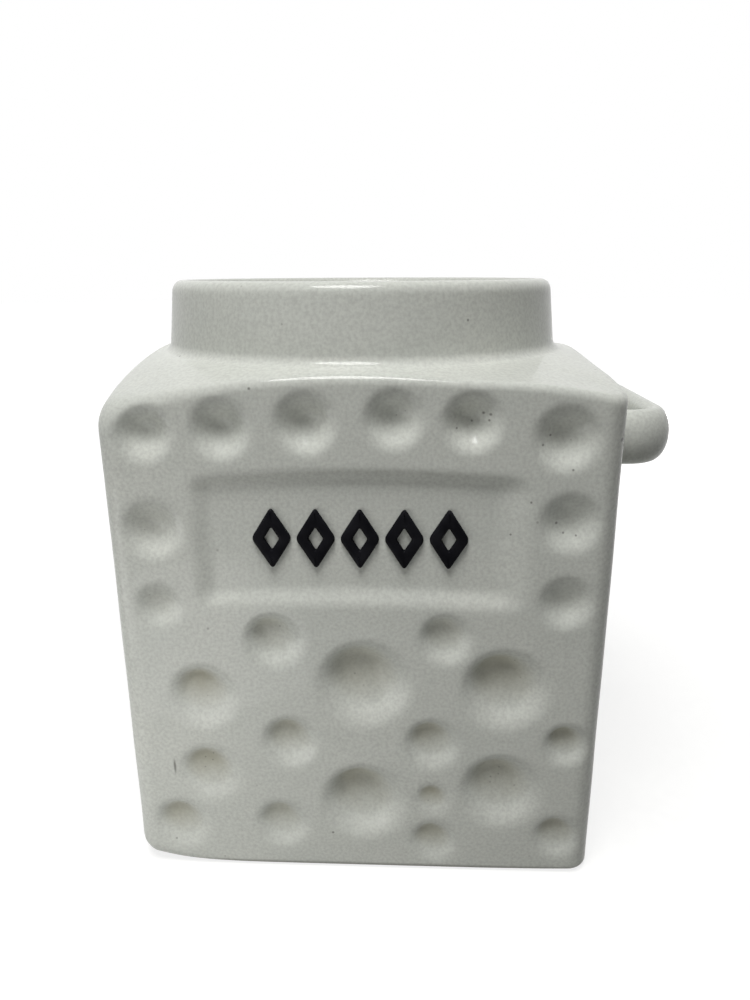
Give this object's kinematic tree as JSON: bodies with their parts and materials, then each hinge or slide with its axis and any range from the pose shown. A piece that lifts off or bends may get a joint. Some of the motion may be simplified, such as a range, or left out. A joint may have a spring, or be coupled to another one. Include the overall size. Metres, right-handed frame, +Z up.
{
  "type": "sugar jar",
  "caption": "Square glazed ceramic jar with dimpled walls, a recessed label panel, a round open neck and a flat loop handle on one side, for keeping sugar.",
  "frame": {"origin": "middle of the foot ring, on the table and on the axis of the neck", "axes": "+Z up along the axis of the neck, -Y out of the front wall with the label panel, +X towards the loop handle"},
  "size_m": [0.1318, 0.112, 0.141],
  "materials": {
    "white_glaze": "glossy off-white glaze with fine dark specks",
    "bare_clay": "matt unglazed clay",
    "black_glaze": "glossy black glaze over raised lines"
  },
  "bodies": {
    "root": {"jar_body": "white_glaze", "neck_collar": "white_glaze", "side_handle": "white_glaze", "foot_ring": "bare_clay", "lozenge_1": "black_glaze", "lozenge_2": "black_glaze", "lozenge_3": "black_glaze", "lozenge_4": "black_glaze", "lozenge_5": "black_glaze"}
  },
  "joints": []
}
